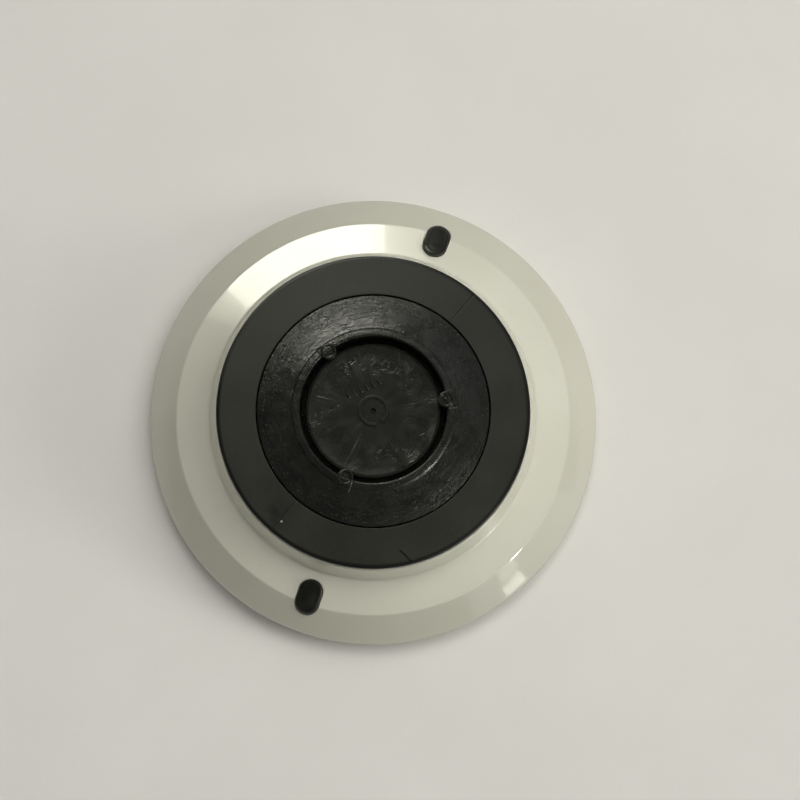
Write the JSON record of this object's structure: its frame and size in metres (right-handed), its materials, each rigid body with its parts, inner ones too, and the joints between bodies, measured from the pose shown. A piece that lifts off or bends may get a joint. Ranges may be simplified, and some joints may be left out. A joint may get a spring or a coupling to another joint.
{
  "type": "heat detector",
  "caption": "Round white point heat detector: plug-in head with a black sensor cap, recessed heat disc and smoked oval light pipes, on a twist-lock mounting base.",
  "frame": {"origin": "centre of the base's back face, on the mounting surface", "axes": "+Z out of the mounting surface towards the room, +X along the line through the two fixing slots"},
  "size_m": [0.1, 0.1, 0.0326],
  "materials": {
    "cover_white": "glossy warm white moulding",
    "base_white": "satin warm white moulding",
    "ring_black": "finely textured matt black moulding",
    "cap_black": "glossy black moulding with flow marks",
    "smoked_lens": "dark smoked clear moulding",
    "lamp_red": "clear red epoxy",
    "screw_steel": "zinc plated",
    "contact_brass": "bright brass strip",
    "contact_steel": "nickel plated spring strip",
    "board_green": "solder mask over glass laminate",
    "chip_black": "moulded epoxy package",
    "chip_ceramic": "small ceramic parts",
    "can_aluminium": "drawn can",
    "seal_rubber": "black moulded ring",
    "bead_epoxy": "dipped bead",
    "carrier_nylon": "natural nylon",
    "lead_wire": "tinned wire"
  },
  "bodies": {
    "base": {"mounting_base": "base_white", "base_contact_1": "contact_steel", "base_contact_2": "contact_steel", "base_contact_3": "contact_steel", "base_contact_4": "contact_steel", "terminal_screws": "screw_steel", "clamp_washers": "screw_steel"},
    "head": {"head_cover": "cover_white", "sensor_ring": "ring_black", "sensor_cone": "cap_black", "heat_disc": "cap_black", "well_seal": "seal_rubber", "light_pipe_1": "smoked_lens", "light_pipe_2": "smoked_lens", "indicator_lamp_1": "lamp_red", "indicator_lamp_2": "lamp_red", "rear_chassis": "base_white", "chassis_screws": "screw_steel", "cone_screws": "screw_steel", "circuit_board": "board_green", "microcontroller": "chip_black", "bridge_rectifier": "chip_black", "voltage_regulator": "chip_black", "surge_suppressor": "chip_black", "smoothing_capacitor": "can_aluminium", "chip_components": "chip_ceramic", "thermistor_bead": "bead_epoxy", "thermistor_leads": "lead_wire", "thermistor_carrier": "carrier_nylon", "head_contact_1": "contact_brass", "head_contact_2": "contact_brass", "head_contact_3": "contact_brass", "head_contact_4": "contact_brass"}
  },
  "joints": [
    {"name": "head_twist", "type": "hinge", "parent": "base", "child": "head", "pos_m": [0, 0, 0], "axis": [0, 0, 1], "range_deg": [0, 20]}
  ]
}
